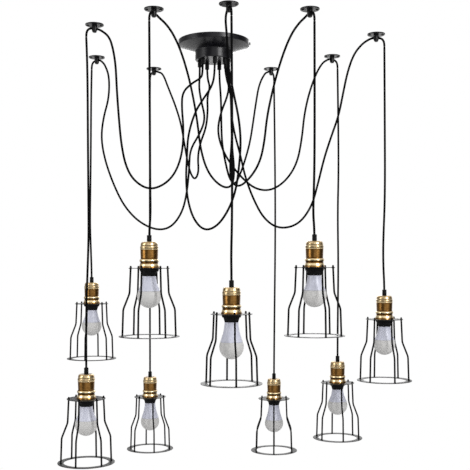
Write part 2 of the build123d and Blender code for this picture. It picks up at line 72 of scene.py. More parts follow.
# %% Camera
PICTURE = 470                  # pixels along each side
FOCAL = 850                    # pixels
HORIZON = 270                  # pixels from the top
SENSOR = 36                    # millimetres
CAMERA_SPOT = (0.0614, -2.474, -0.665)
camera_data = bpy.data.cameras.new("camera")
camera_data.sensor_width = SENSOR
camera_data.lens = SENSOR * FOCAL / PICTURE
camera_data.shift_y = (HORIZON - PICTURE / 2) / PICTURE
camera_data.clip_end = 60
camera = bpy.data.objects.new("camera", camera_data)
camera.location = CAMERA_SPOT
camera.rotation_euler = (math.pi / 2, 0, 0)
bpy.context.scene.collection.objects.link(camera)
bpy.context.scene.camera = camera

# %% [markdown]
# Finishes are node graphs. Small helpers keep them short: they turn a written sRGB colour into the linear
# values that the renderer works in, start a material, add a node with its settings and links, and send a
# colour or a relief to the shader. Most finishes here are one noise in two close colours, and the last
# helper makes those.

# %% Helpers for finishes


def linear(code):
    """Linear red, green, blue and alpha from a six-digit sRGB colour."""
    values = [int(code[i:i + 2], 16) / 255 for i in (0, 2, 4)]
    return (*[v / 12.92 if v <= 0.04045 else ((v + 0.055) / 1.055) ** 2.4 for v in values], 1)


def new_finish(name, **settings):
    """A material whose surface shader has these settings, named as the shader's sockets are."""
    material = bpy.data.materials.new(name)
    material.use_nodes = True
    shader = material.node_tree.nodes["Principled BSDF"]
    for socket, value in settings.items():
        shader.inputs[socket.replace("_", " ")].default_value = value
    return material


def add(material, kind, feeds=None, into=None, **settings):
    """Add a node; feeds gives its inputs by name or number, and into the socket that its output goes to."""
    tree = material.node_tree
    node = tree.nodes.new("ShaderNode" + kind)
    for name, value in settings.items():
        setattr(node, name, value)
    for name, value in (feeds or {}).items():
        if isinstance(value, bpy.types.NodeSocket):
            tree.links.new(value, node.inputs[name])
        else:
            node.inputs[name].default_value = value
    if into:
        tree.links.new(node.outputs[0], tree.nodes["Principled BSDF"].inputs[into])
    return node.outputs[0] if kind != "TexCoord" else node.outputs["Object"]


def colour_bands(material, value, *stops):
    """A colour ramp from (place, colour) stops, sent to the shader's base colour."""
    node = material.node_tree.nodes.new("ShaderNodeValToRGB")
    material.node_tree.links.new(value, node.inputs[0])
    for index, (place, code) in enumerate(stops):
        if index < 2:
            stop = node.color_ramp.elements[index]
            stop.position = place
        else:
            stop = node.color_ramp.elements.new(place)
        stop.color = linear(code)
    shader = material.node_tree.nodes["Principled BSDF"]
    material.node_tree.links.new(node.outputs[0], shader.inputs["Base Color"])


def relief(material, height, depth_mm, strength):
    """Bump of a real depth in millimetres, sent to the shader's normal."""
    return add(material, "Bump", {"Height": height, "Distance": depth_mm * MM, "Strength": strength},
               into="Normal")


def mottled(name, patch_mm, detail, stops, depth_mm, strength=0.3, **settings):
    """A finish whose colours and slight relief both follow one noise, in patches of a real size."""
    material = new_finish(name, **settings)
    noise = add(material, "TexNoise", {"Vector": add(material, "TexCoord"),
                                       "Scale": 1 / (patch_mm * MM), "Detail": detail})
    colour_bands(material, noise, *stops)
    relief(material, noise, depth_mm, strength)
    return material


# %% [markdown]
# The cages, the hooks and the canopy are mild steel under a satin black coat. Powder coat melts into a
# skin with a faint orange peel, a few millimetres from crest to crest, which breaks up its highlights.

# %% Coated steel
CLOUD_MM = 12                  # from one glossier patch to the next


def coated_steel(name, colour, roughness, gloss, peel_mm, peel_depth_mm):
    """Black coat over steel: an even colour, a slight orange peel and an uneven gloss."""
    material = new_finish(name, Roughness=roughness, IOR=1.5, Specular_IOR_Level=gloss)
    place = add(material, "TexCoord")
    peel = add(material, "TexNoise", {"Vector": place, "Scale": 1 / (peel_mm * MM), "Detail": 2.0})
    cloud = add(material, "TexNoise", {"Vector": place, "Scale": 1 / (CLOUD_MM * MM), "Detail": 3.0})
    colour_bands(material, cloud, (0.3, colour[0]), (0.7, colour[1]))
    add(material, "MapRange", {"Value": cloud, "From Min": 0.3, "From Max": 0.7,
                               "To Min": roughness - 0.05, "To Max": roughness + 0.06}, into="Roughness")
    relief(material, peel, peel_depth_mm, 0.5)
    return material


wire_finish = coated_steel("matt_powder_coated_wire", ("060606", "0a0a0a"), 0.55, 0.06, 1.4, 0.02)
strip_finish = coated_steel("satin_powder_coated_strip", ("0a0a0b", "101011"), 0.42, 0.22, 1.8, 0.02)
canopy_finish = coated_steel("satin_black_spun_steel", ("08080c", "0d0d13"), 0.24, 0.34, 2.4, 0.006)
hook_finish = coated_steel("black_enamelled_hook", ("0a0a0b", "101012"), 0.30, 0.22, 1.6, 0.01)

# %% [markdown]
# The lampholder shells are brass, darkened with a patina that is then rubbed back on the high places.
# A mesh attribute tells the finish where those are, so the grooves stay brown and the beads shine. It also
# carries painted highlight: three bands, on the foot's flare, the bead and the shoulder, made brighter.

# %% Antique brass
brass_finish = new_finish("antique_brass", Metallic=1.0, Roughness=0.25)
place = add(brass_finish, "TexCoord")
# The attribute holds bare brass on the proud places plus three bands of painted highlight.
bare_brass_and_highlight = add(brass_finish, "Attribute", attribute_name="bare_brass_and_highlight").node.outputs["Fac"]
cloud = add(brass_finish, "TexNoise", {"Vector": place, "Scale": 1 / (7 * MM), "Detail": 5.0,
                                       "Roughness": 0.6})
mixed = add(brass_finish, "Math", {0: cloud, 1: 0.5, 2: bare_brass_and_highlight}, operation="MULTIPLY_ADD")
colour_bands(brass_finish, mixed, (0.2, "24140a"), (1.0, "f2dcae"), (0.64, "67461f"), (0.84, "926c3a"))
add(brass_finish, "MapRange", {"Value": mixed, "From Min": 0.2, "From Max": 0.95,
                               "To Min": 0.40, "To Max": 0.2}, into="Roughness")
squeezed = add(brass_finish, "Mapping", {"Vector": place, "Scale": (1, 1, 14)})
turning = add(brass_finish, "TexNoise", {"Vector": squeezed, "Scale": 1 / (9 * MM), "Detail": 4.0})
relief(brass_finish, turning, 0.02, 0.35)

# %% [markdown]
# The socket cores, shade rings and cord grips are moulded: phenolic and nylon, black all through, with the
# dull even skin that a steel mould leaves.

# %% Black mouldings
moulding_finish = mottled("black_phenolic", 0.9, 2.0, [(0.3, "080809"), (0.75, "0f0f10")], 0.015,
                          Roughness=0.5, IOR=1.55, Specular_IOR_Level=0.1)

# %% [markdown]
# The cords are cable under a sleeve of braided black cotton. Eight ribs wind round it each way, and follow
# each other every 1.6 millimetres along it. On the tube's own map, where one side of the square is once round
# and the other is its length in metres, two sets of slanting stripes make the braid. They also darken its colour
# in the gaps between the ribs, which is painted shade.

# %% Braided cord
BRAID_RIBS = 8                 # around the cord, each way
BRAID_PITCH = 13 * MM          # along the cord for one rib to go once round
cord_finish = new_finish("braided_cotton_cord", Roughness=0.85, IOR=1.45, Specular_IOR_Level=0.05)
around_along = add(cord_finish, "UVMap")
split = add(cord_finish, "SeparateXYZ", {0: around_along}).node
turns_along = add(cord_finish, "Math", {0: split.outputs[1], 1: 1 / BRAID_PITCH}, operation="MULTIPLY")
strands = []
for hand in (-1, 1):
    phase = add(cord_finish, "Math", {0: turns_along, 1: hand, 2: split.outputs[0]}, operation="MULTIPLY_ADD")
    wound = add(cord_finish, "Math", {0: phase, 1: BRAID_RIBS * 2 * math.pi}, operation="MULTIPLY")
    strands.append(add(cord_finish, "Math", {0: wound}, operation="SINE"))
braid_relief_and_gap_shade = add(cord_finish, "Math", {0: strands[0], 1: strands[1]}, operation="MAXIMUM")
# Painted shade: darker colour in the gaps between the braid's ribs.
colour_bands(cord_finish, braid_relief_and_gap_shade, (0.0, "040404"), (1.0, "0f0f10"))
relief(cord_finish, braid_relief_and_gap_shade, 0.2, 0.5)

# %% [markdown]
# The lamps are LED lamps that aren't lit: a housing moulded in bluish white plastic, a milky dome of a warmer
# white, and a nickel-plated screw cap.

# %% Lamp finishes
housing_finish = mottled("white_lamp_housing", 25, 2.0, [(0.3, "d0d2e2"), (0.7, "d9dbe9")], 0.05, 0.2,
                         Roughness=0.34, IOR=1.5)
dome_finish = mottled("milky_lamp_dome", 1.2, 2.0, [(0.3, "cdcccb"), (0.7, "d5d4d2")], 0.02,
                      Roughness=0.5, IOR=1.5)
nickel_finish = mottled("nickel_plated_cap", 5, 3.0, [(0.3, "a9a69e"), (0.7, "c4c1b9")], 0.02,
                        Metallic=1.0, Roughness=0.28)

# %% [markdown]
# What the ceiling side hides needs plainer finishes: off-white nylon for the terminal block, and steel under
# black passivated zinc for the mounting bar and its two screws, whose heads show at the canopy's lip.

# %% Hidden finishes
bar_finish = mottled("black_passivated_steel", 4, 4.0, [(0.3, "101012"), (0.7, "1b1b1e")], 0.01,
                     Roughness=0.4, IOR=1.5, Specular_IOR_Level=0.3)
nylon_finish = mottled("off_white_nylon", 2, 2.0, [(0.3, "d8d6cc"), (0.7, "e2e0d7")], 0.03,
                       Roughness=0.5, IOR=1.52)

# %% [markdown]
# Every piece of this light is turned, drawn or bent, so two ways of making a mesh cover it: a lathe that
# turns an outline about the upright axis, and a tube that follows a line. The outline's corners are eased
# by arcs first, because a knife edge never catches light.

# %% Helpers for shapes


def eased(corners, radius_mm, steps=4):
    """Round the inner corners of a (radius, height) outline, in millimetres, with arcs of that radius."""
    line = [Vector(corner) for corner in corners]
    out = [line[0]]
    for before, corner, after in zip(line, line[1:], line[2:]):
        to_before = (before - corner).normalized()
        to_after = (after - corner).normalized()
        half = to_before.angle(to_after) / 2
        shorter = min((before - corner).length, (after - corner).length)
        reach = min(radius_mm / math.tan(half), 0.45 * shorter)
        start = corner + to_before * reach
        end = corner + to_after * reach
        for step in range(steps + 1):
            t = step / steps
            out.append(start * (1 - t) ** 2 + corner * 2 * t * (1 - t) + end * t ** 2)
    out.append(line[-1])
    return out


def mesh_piece(name, points, faces, finish, smooth_degrees=35):
    """A mesh object with one finish, smooth except over edges sharper than the angle."""
    mesh = bpy.data.meshes.new(name)
    mesh.from_pydata([tuple(point) for point in points], [], faces)
    mesh.materials.append(finish)
    shape = bmesh.new()
    shape.from_mesh(mesh)
    bmesh.ops.recalc_face_normals(shape, faces=shape.faces)
    shape.to_mesh(mesh)
    shape.free()
    mesh.shade_smooth()
    mesh.set_sharp_from_angle(angle=math.radians(smooth_degrees))
    piece = bpy.data.objects.new(name, mesh)
    bpy.context.scene.collection.objects.link(piece)
    return piece


def lathe(name, outline, finish, sides=96, closed=False, smooth_degrees=35, carve=None, patina_loss_and_highlight=None):
    """Turn a (radius, height) outline in millimetres about the upright axis.

    carve gives the radius to use instead at a radius, height and turn, for ribs and threads.
    The last argument gives how bare of patina each point of the outline is, with bands of painted highlight added,
    which the mesh keeps for its finish."""
    rings, points, faces, bareness_per_vertex_and_highlight = [], [], [], []
    for index, (radius, height) in enumerate(outline):
        if radius < 1e-6:
            rings.append([len(points)] * sides)
            points.append((0, 0, height * MM))
        else:
            rings.append(range(len(points), len(points) + sides))
            for side in range(sides):
                turn = 2 * math.pi * side / sides
                wide = (carve(radius, height, turn) if carve else radius) * MM
                points.append((wide * math.cos(turn), wide * math.sin(turn), height * MM))
        if patina_loss_and_highlight:
            bareness_per_vertex_and_highlight += [patina_loss_and_highlight[index]] * (len(points) - len(bareness_per_vertex_and_highlight))
    pairs = list(zip(rings, rings[1:]))
    if closed:
        pairs.append((rings[-1], rings[0]))
    for low, high in pairs:
        for side in range(sides):
            after = (side + 1) % sides
            corners = list(dict.fromkeys([low[side], low[after], high[after], high[side]]))
            if len(corners) > 2:
                faces.append(corners)
    piece = mesh_piece(name, points, faces, finish, smooth_degrees)
    if patina_loss_and_highlight:
        piece.data.attributes.new("bare_brass_and_highlight", "FLOAT", "POINT").data.foreach_set("value", bareness_per_vertex_and_highlight)
    return piece


def washer(inner, outer, low, high, ease_mm):
    """The closed outline of a flat ring, with eased edges."""
    middle = (low + high) / 2
    corners = [(inner, middle), (inner, low), (outer, low), (outer, high), (inner, high), (inner, middle)]
    return eased(corners, ease_mm)[:-1]


def resampled(outline, step_mm):
    """The same line with its points an even step apart."""
    out = [Vector(outline[0])]
    left = step_mm
    for start, end in zip(outline, outline[1:]):
        start, end = Vector(start), Vector(end)
        run = (end - start).length
        while run >= left > 0:
            start = start + (end - start) * (left / run)
            out.append(start)
            run -= left
            left = step_mm
        left -= run
    return out + [Vector(outline[-1])]


def tube(name, line, radius, finish, sides=16, dome_start=False):
    """A round tube along a line of points in metres, with its own map: once round, and metres along."""
    count = len(line)
    tangents = [(line[min(i + 1, count - 1)] - line[max(i - 1, 0)]).normalized() for i in range(count)]
    across = tangents[0].orthogonal().normalized()
    rings = []
    travelled = 0
    for index, (spot, tangent) in enumerate(zip(line, tangents)):
        if index:
            across = tangents[index - 1].rotation_difference(tangent) @ across
            travelled += (spot - line[index - 1]).length
        rings.append((spot, tangent, across, radius, travelled))
    if dome_start:
        dome = [(math.cos(a), math.sin(a)) for a in (math.radians(step) for step in (78, 60, 40, 20))]
        spot, tangent, side_way, _, _ = rings[0]
        rings = [(spot - tangent * radius * s, tangent, side_way, radius * c, -radius * s)
                 for c, s in dome] + rings
    points, faces, maps = [], [], []
    for spot, tangent, side_way, wide, _ in rings:
        other = tangent.cross(side_way)
        for side in range(sides):
            turn = 2 * math.pi * side / sides
            points.append(spot + (side_way * math.cos(turn) + other * math.sin(turn)) * wide)
    for index in range(len(rings) - 1):
        for side in range(sides):
            after = (side + 1) % sides
            faces.append([index * sides + side, index * sides + after,
                          (index + 1) * sides + after, (index + 1) * sides + side])
            low, high = rings[index][4], rings[index + 1][4]
            maps.append([(side / sides, low), ((side + 1) / sides, low),
                         ((side + 1) / sides, high), (side / sides, high)])
    faces.append(list(range(sides))[::-1])
    maps.append([(0, 0)] * sides)
    faces.append([(len(rings) - 1) * sides + side for side in range(sides)])
    maps.append([(0, 0)] * sides)
    mesh = bpy.data.meshes.new(name)
    mesh.from_pydata([tuple(point) for point in points], [], faces)
    mesh.materials.append(finish)
    layer = mesh.uv_layers.new(name="UVMap")
    layer.data.foreach_set("uv", [value for face in maps for pair in face for value in pair])
    mesh.shade_smooth()
    mesh.set_sharp_from_angle(angle=math.radians(50))
    piece = bpy.data.objects.new(name, mesh)
    bpy.context.scene.collection.objects.link(piece)
    return piece


def joined(name, parts):
    """One piece made of pattern pieces, each put in its places by matrices; the patterns go."""
    shape = bmesh.new()
    for pattern, places in parts:
        for place in places:
            copy = pattern.data.copy()
            copy.transform(place)
            shape.from_mesh(copy)
            bpy.data.meshes.remove(copy)
    mesh = bpy.data.meshes.new(name)
    shape.to_mesh(mesh)
    shape.free()
    mesh.materials.append(parts[0][0].data.materials[0])
    for pattern, _ in parts:
        bpy.data.objects.remove(pattern)
    piece = bpy.data.objects.new(name, mesh)
    bpy.context.scene.collection.objects.link(piece)
    return piece


def place_copies(pattern, name, spots, bodies, replaced=None, turns=None, which=numbers):
    """Copies of one pattern piece, which share its mesh, each on its own body; the pattern goes."""
    for n in which:
        piece = bpy.data.objects.new(f"{name}_{n}", pattern.data)
        bpy.context.scene.collection.objects.link(piece)
        piece.location = spots[n]
        if turns:
            piece.rotation_euler.z = math.radians(turns[n - 1])
        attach(piece, bodies.format(n))
        if replaced:
            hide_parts(replaced.format(n))
    bpy.data.objects.remove(pattern)


# %% [markdown]
# Nine cords carry the light. Each one leaves the canopy through its grip, hangs in a loose swag, goes through
# the cross hole of its hook and drops to its lampholder. The route of a swag is a short list of points, read
# from the picture with the depth of each judged, and a quadratic NURBS spline makes one smooth
# line of it, as a limp cord does.

# %% Cord routes
CORD_RADIUS = 3 * MM
DROP_REACH = 23 * MM           # from a hook's post to its drop
HOOK_BEND = 10.5 * MM
CORD_HOLE = -11 * MM
SWAG_END = 3.3 * MM            # above the pivot
GRIP_CIRCLE = 42 * MM
GRIP_MOUTH = -73 * MM
GRIP_ENTRY = 26 * MM
CUP_INSIDE = -49 * MM
grip_bearings = [222, 170, 345, 120, 275, 35, 69, 320, 10]
# In metres, from the hook to the canopy
swag_points = [
    [(-.297, -.161, -.017), (-.284, -.155, -.027), (-.275, -.150, -.047), (-.266, -.143, -.098),
     (-.263, -.141, -.171), (-.258, -.138, -.245), (-.252, -.134, -.317), (-.241, -.126, -.377),
     (-.220, -.112, -.417), (-.180, -.094, -.441), (-.138, -.076, -.425), (-.107, -.061, -.389),
     (-.089, -.051, -.333), (-.085, -.047, -.265), (-.091, -.044, -.199), (-.089, -.041, -.156),
     (-.063, -.037, -.130), (-.037, -.032, -.114)],
    [(-.352, .167, -.017), (-.340, .158, -.032), (-.328, .160, -.067), (-.329, .158, -.133),
     (-.346, .156, -.194), (-.353, .154, -.259), (-.339, .151, -.331), (-.310, .142, -.408),
     (-.277, .128, -.471), (-.231, .106, -.519), (-.175, .080, -.546), (-.128, .056, -.539),
     (-.093, .037, -.493), (-.079, .028, -.430), (-.073, .025, -.364), (-.071, .021, -.312),
     (-.041, .016, -.265), (-.025, .012, -.222), (-.037, .010, -.173), (-.044, .009, -.133)],
    [(-.134, -.288, -.016), (-.121, -.264, -.022), (-.104, -.233, -.038), (-.084, -.201, -.076),
     (-.065, -.170, -.137), (-.052, -.146, -.197), (-.042, -.128, -.259), (-.035, -.116, -.325),
     (-.020, -.104, -.380), (.003, -.093, -.415), (.033, -.080, -.435), (.055, -.066, -.426),
     (.060, -.053, -.380), (.053, -.041, -.313), (.051, -.029, -.248), (.050, -.020, -.184),
     (.047, -.014, -.137)],
    [(-.190, .313, -.016), (-.173, .292, -.026), (-.152, .258, -.082), (-.128, .217, -.142),
     (-.108, .187, -.205), (-.097, .166, -.265), (-.087, .146, -.321), (-.075, .125, -.370),
     (-.060, .100, -.393), (-.047, .075, -.372), (-.050, .060, -.328), (-.041, .051, -.285),
     (-.024, .045, -.243), (-.019, .042, -.193), (-.021, .041, -.154), (-.012, .039, -.123)],
    [(.040, -.335, -.016), (.037, -.324, -.031), (.041, -.323, -.073), (.043, -.307, -.140),
     (.057, -.292, -.208), (.072, -.276, -.275), (.077, -.260, -.334), (.072, -.245, -.395),
     (.064, -.226, -.454), (.044, -.201, -.506), (.013, -.170, -.547), (-.023, -.139, -.558),
     (-.054, -.114, -.525), (-.072, -.095, -.467), (-.077, -.082, -.403), (-.074, -.073, -.339),
     (-.072, -.064, -.283), (-.053, -.056, -.216), (-.027, -.050, -.174), (-.003, -.045, -.138)],
    [(.170, .312, -.016), (.158, .287, -.026), (.138, .250, -.072), (.128, .229, -.133),
     (.118, .204, -.203), (.109, .184, -.262), (.095, .154, -.318), (.078, .123, -.371),
     (.063, .098, -.405), (.049, .075, -.400), (.046, .060, -.350), (.052, .049, -.282),
     (.051, .040, -.217), (.051, .033, -.165), (.044, .029, -.125)],
    [(.241, -.288, -.016), (.229, -.266, -.022), (.211, -.241, -.042), (.193, -.217, -.080),
     (.175, -.195, -.134), (.160, -.174, -.192), (.148, -.160, -.251), (.142, -.150, -.313),
     (.131, -.132, -.366), (.106, -.101, -.406), (.072, -.062, -.432), (.047, -.031, -.409),
     (.034, -.006, -.356), (.023, .015, -.294), (.021, .027, -.227), (.020, .034, -.156)],
    [(.344, .153, -.017), (.330, .143, -.028), (.311, .138, -.060), (.288, .124, -.123),
     (.272, .115, -.193), (.265, .109, -.264), (.250, .099, -.341), (.216, .080, -.396),
     (.170, .054, -.429), (.124, .029, -.428), (.086, .007, -.401), (.052, -.006, -.362),
     (.025, -.011, -.318), (.010, -.015, -.264), (.020, -.019, -.211), (.039, -.022, -.166),
     (.045, -.025, -.133)],
    [(.435, -.077, -.017), (.418, -.075, -.029), (.397, -.067, -.055), (.380, -.063, -.105),
     (.368, -.060, -.165), (.356, -.057, -.227), (.335, -.053, -.286), (.315, -.049, -.348),
     (.299, -.044, -.417), (.281, -.041, -.484), (.243, -.032, -.536), (.187, -.022, -.547),
     (.144, -.013, -.516), (.114, -.007, -.458), (.091, -.002, -.395), (.077, 0, -.330),
     (.059, .003, -.265), (.050, .005, -.204), (.049, .006, -.144)],
]
# The share of the way down a drop, and how far the cord stands off the plumb line there, in metres
drop_waver = [
    [(.08, .0032, .0004), (.30, .0043, .0006), (.52, .0060, .0002), (.61, .0064, 0), (.72, .0030, -.0003),
     (.84, -.0003, 0)],
    [(.12, -.0018, .0003), (.36, -.0026, .0004), (.58, -.0040, -.0002), (.74, -.0054, -.0003),
     (.88, -.0022, 0)],
    [(.24, .0007, .0004), (.53, .0016, .0008), (.78, .0022, .0002), (.90, .0034, 0)],
    [(.30, -.0014, .0006), (.66, -.0005, -.0006)],
    [(.22, .0011, .0004), (.48, .0017, .0008), (.78, .0013, .0003), (.90, -.0008, 0)],
    [(.26, .0036, .0007), (.54, .0046, .0010), (.82, .0014, .0002)],
    [(.30, .0004, .0004), (.62, .0003, .0007), (.79, -.0014, .0002), (.90, -.0036, -.0002)],
    [(.17, .0022, .0004), (.36, .0034, .0006), (.50, .0002, -.0002), (.68, .0026, .0004), (.86, .0008, 0)],
    [(.30, .0012, .0004), (.61, .0021, .0006), (.80, -.0034, -.0003), (.90, -.0032, -.0004)],
]


def swag_route(n):
    """From the pivot below a hook, up and through its post, and across to the grip in the canopy."""
    hook = hooks[n] + Vector((0, 0, CORD_HOLE))
    outward = (pivots[n] - hooks[n]) * Vector((1, 1, 0))
    outward.normalize()
    bearing = math.radians(grip_bearings[n - 1])
    grip = Vector((GRIP_CIRCLE * math.cos(bearing), GRIP_CIRCLE * math.sin(bearing), 0))
    return [
        pivots[n] + Vector((0, 0, SWAG_END)),
        hook + outward * DROP_REACH - Vector((0, 0, HOOK_BEND)),
        hook + outward * (DROP_REACH - HOOK_BEND),
        hook - outward * HOOK_BEND,
        *[Vector(point) for point in swag_points[n - 1]],
        grip + Vector((0, 0, GRIP_MOUTH - GRIP_ENTRY)),
        grip + Vector((0, 0, CUP_INSIDE)),
    ]


# %% [markdown]
# A drop hangs almost plumb, with the slight waver of a cord that was packed in coils. It starts at the
# pivot below its hook and ends inside the lampholder.

# %% Drop routes
HOLDER_TOP = 82.8 * MM         # above the cage plate
HOLDER_ENTRY = 10 * MM
CORE_TOP = 45 * MM


def drop_route(n):
    """From the pivot down into the lampholder, standing off the plumb line where the cord wavers."""
    top = pivots[n].z
    mouth = plate_tops[n].z + HOLDER_TOP
    points = [pivots[n]]
    for share, off_x, off_y in drop_waver[n - 1]:
        points.append(Vector((pivots[n].x + off_x, pivots[n].y + off_y, top - share * (top - mouth))))
    points.append(Vector((pivots[n].x, pivots[n].y, mouth + HOLDER_ENTRY)))
    points.append(Vector((pivots[n].x, pivots[n].y, plate_tops[n].z + CORE_TOP)))
    return points


def spline_line(points, resolution):
    """The points of the smooth line that a quadratic NURBS spline makes of a route."""
    curve = bpy.data.curves.new("route", "CURVE")
    curve.dimensions = "3D"
    curve.resolution_u = resolution
    spline = curve.splines.new("NURBS")
    spline.points.add(len(points) - 1)
    for control, point in zip(spline.points, points):
        control.co = (*point, 1)
    spline.order_u = 3
    spline.use_endpoint_u = True
    holder = bpy.data.objects.new("route", curve)
    mesh = bpy.data.meshes.new_from_object(holder)
    line = [vertex.co.copy() for vertex in mesh.vertices]
    bpy.data.objects.remove(holder)
    bpy.data.meshes.remove(mesh)
    bpy.data.curves.remove(curve)
    return line


# %% Cords
for n in numbers:
    line = spline_line(swag_route(n), 6)
    swag = tube(f"swag_cord_{n}_braided", line, CORD_RADIUS, cord_finish)
    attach(swag, ROOT)
    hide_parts(f"swag_cord_{n}")
    line = spline_line(drop_route(n), 16)
    drop = tube(f"pendant_{n}_cord_braided", line, CORD_RADIUS, cord_finish, dome_start=True)
    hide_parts(f"pendant_{n}_cord")
    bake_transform(drop)
print("cords made:", 2 * COUNT)

# %% [markdown]
# The pieces that the engineering model shapes well enough keep their own mesh and only get a finish: the
# spun canopy, the bar and the terminal block that it hides, and the hooks.


def dress(node, finish):
    """Give a node of the engineering model one finish."""
    mesh = frame["nodes"][node].data
    mesh.materials.clear()
    mesh.materials.append(finish)


dress("canopy_shell", canopy_finish)
dress("canopy_mounting_bar", bar_finish)
dress("canopy_terminal_block", nylon_finish)
dress("hook_plates", hook_finish)
dress("hook_posts", hook_finish)

# %% [markdown]
# The lampholder's shell was spun from brass and turned: an open foot that flares over the cage plate, a bead,
# a waist, a straight barrel, a ridged shoulder and a flat top. Its outline was measured in the picture. The
# lathe turns it from closely spaced points, so that the grooves of the shoulder can be cut into the line
# first, and so that each point can be asked whether it stands proud of its neighbours. Where it does, a
# hand and a cloth have rubbed the patina off. Three bands, on the foot's flare, the bead and the shoulder,
# are made brighter still in the colour, as painted highlight.

# %% Brass shell
shell_corners = [(26.3, 0.4), (26.3, 0.9), (25.1, 4.4), (23.7, 9.0), (22.4, 11.8), (22.4, 14.6),
                 (24.9, 17.2), (24.4, 20.2), (21.4, 23.4), (21.8, 27.0), (22.4, 45.4), (23.3, 47.4),
                 (23.2, 52.0), (22.1, 57.8), (20.8, 62.6), (18.4, 65.6), (16.0, 65.6)]
SHELL_EASE = 3.0
SHELL_STEP = 0.3
SHELL_WALL = 1.1
SHELL_TOP = 65.6
GRIP_HOLE = 5.05
RIDGE_LOW, RIDGE_HIGH, RIDGE_PITCH, RIDGE_DEPTH = 47.2, 58.2, 2.2, 0.2
UNSEEN_WEAR = 0.4              # of the shell's top and inside
GROOVES = [(48.9, 1.4), (56.0, 1.5)]   # height and half-width of the two deeper ones
GROOVE_DEPTH = 1.0
PAINTED_HIGHLIGHT_BANDS = [(7.2, 3.6, 0.4), (19.4, 2.6, 0.25), (60.4, 2.6, 0.15)]   # height, half-width and extra brightness of each band of painted highlight
WEAR_REACH = 5                 # points to each side
WEAR_HEIGHT = 0.3              # millimetres proud for bare brass

outside = resampled(eased(shell_corners, SHELL_EASE), SHELL_STEP)
for point in outside:
    if RIDGE_LOW < point.y < RIDGE_HIGH:
        wave = math.cos(2 * math.pi * (point.y - RIDGE_LOW) / RIDGE_PITCH)
        point.x -= RIDGE_DEPTH * (0.5 - 0.5 * wave)
    for height, half_width in GROOVES:
        if abs(point.y - height) < half_width:
            point.x -= GROOVE_DEPTH * (0.5 + 0.5 * math.cos(math.pi * (point.y - height) / half_width))
patina_loss_and_highlight = []
for index, point in enumerate(outside):
    around = outside[max(index - WEAR_REACH, 0):index + WEAR_REACH + 1]
    middle = sum(around, Vector((0, 0))) / len(around)
    along = (around[-1] - around[0]).normalized()
    proud = (point - middle).dot(Vector((along.y, -along.x)))
    # Painted highlight: bright bands added to the colour at three heights.
    painted_highlight = sum(extra * max(1 - ((point.y - height) / half_width) ** 2, 0)
                  for height, half_width, extra in PAINTED_HIGHLIGHT_BANDS)
    patina_loss_and_highlight.append(min(max(0.5 + 0.5 * proud / WEAR_HEIGHT + painted_highlight, 0), 1))
inside = [(point.x - SHELL_WALL, point.y) for point in outside[::-4] if point.y < SHELL_TOP - SHELL_WALL]
inner_top = inside[0][0] - SHELL_WALL
closing = [(GRIP_HOLE, SHELL_TOP), (GRIP_HOLE, SHELL_TOP - SHELL_WALL), (inner_top, SHELL_TOP - SHELL_WALL)]
outline = [*outside, *closing, *inside]
patina_loss_and_highlight += [UNSEEN_WEAR] * (len(closing) + len(inside))
shell = lathe("shell", outline, brass_finish, sides=112, closed=True, patina_loss_and_highlight=patina_loss_and_highlight)
place_copies(shell, "brass_shell", plate_tops, "pendant_{}", "pendant_{}_lampholder_shell")
print("brass shell:", len(outline), "points in its outline")

# %% [markdown]
# Inside it, the lamp's cap screws into a thin brass tube with a rolled thread, and meets a flat contact.
# The thread climbs 3.6 millimetres a turn. The lathe shifts each ring's radius by a wave that also turns, and
# that makes it a true helix.

# %% Screw shell and contact
THREAD_PITCH = 3.6
SOCKET_RADIUS = 13.9
SOCKET_WALL = 0.5
SOCKET_LOW, SOCKET_HIGH = -16, 8
SOCKET_THREAD = 0.1            # half the depth of the thread


def thread_wave(height, turn):
    """From -1 at a thread's root to 1 at its crest."""
    return math.sin(2 * math.pi * height / THREAD_PITCH - turn)


def socket_thread(radius, height, turn):
    """The rolled thread of the screw shell."""
    return radius - SOCKET_THREAD + SOCKET_THREAD * thread_wave(height, turn)


socket_finish = mottled("bright_socket_brass", 4, 3.0, [(0.3, "b08a4c"), (0.7, "cfab6a")], 0.02,
                        Metallic=1.0, Roughness=0.3)
tube_line = resampled([(SOCKET_RADIUS, SOCKET_LOW), (SOCKET_RADIUS, SOCKET_HIGH)], 0.6)
tube_outline = [*tube_line, *[(point.x - SOCKET_WALL, point.y) for point in tube_line[::-1]]]
screw_tube = lathe("screw_tube", tube_outline, socket_finish, sides=64, closed=True, carve=socket_thread)
contact = lathe("contact", washer(inner=0.4, outer=6, low=8, high=10, ease_mm=0.4), socket_finish,
                sides=32, closed=True)
HERE = Matrix()
UPSIDE_DOWN = Matrix.Rotation(math.pi, 4, "X")
socket = joined("socket", [(screw_tube, [HERE]), (contact, [HERE])])
place_copies(socket, "socket_brass", plate_tops, "pendant_{}")

# %% [markdown]
# Three black mouldings finish the lampholder. The core fills the shell and ends in a ribbed skirt around the
# lamp, the shade ring screws up against the cage plate, and the cord grip closes the top. A mould cuts ribs
# as a wave round the piece, so the lathe does the same.

# %% Mouldings of the lampholder


def ribs(count, depth_mm, low, high, least_radius):
    """A carve for the lathe: ribs round the outer face between two heights."""
    def carve(radius, height, turn):
        if low <= height <= high and radius >= least_radius:
            return radius - depth_mm * (0.5 - 0.5 * math.cos(count * turn))
        return radius
    return carve


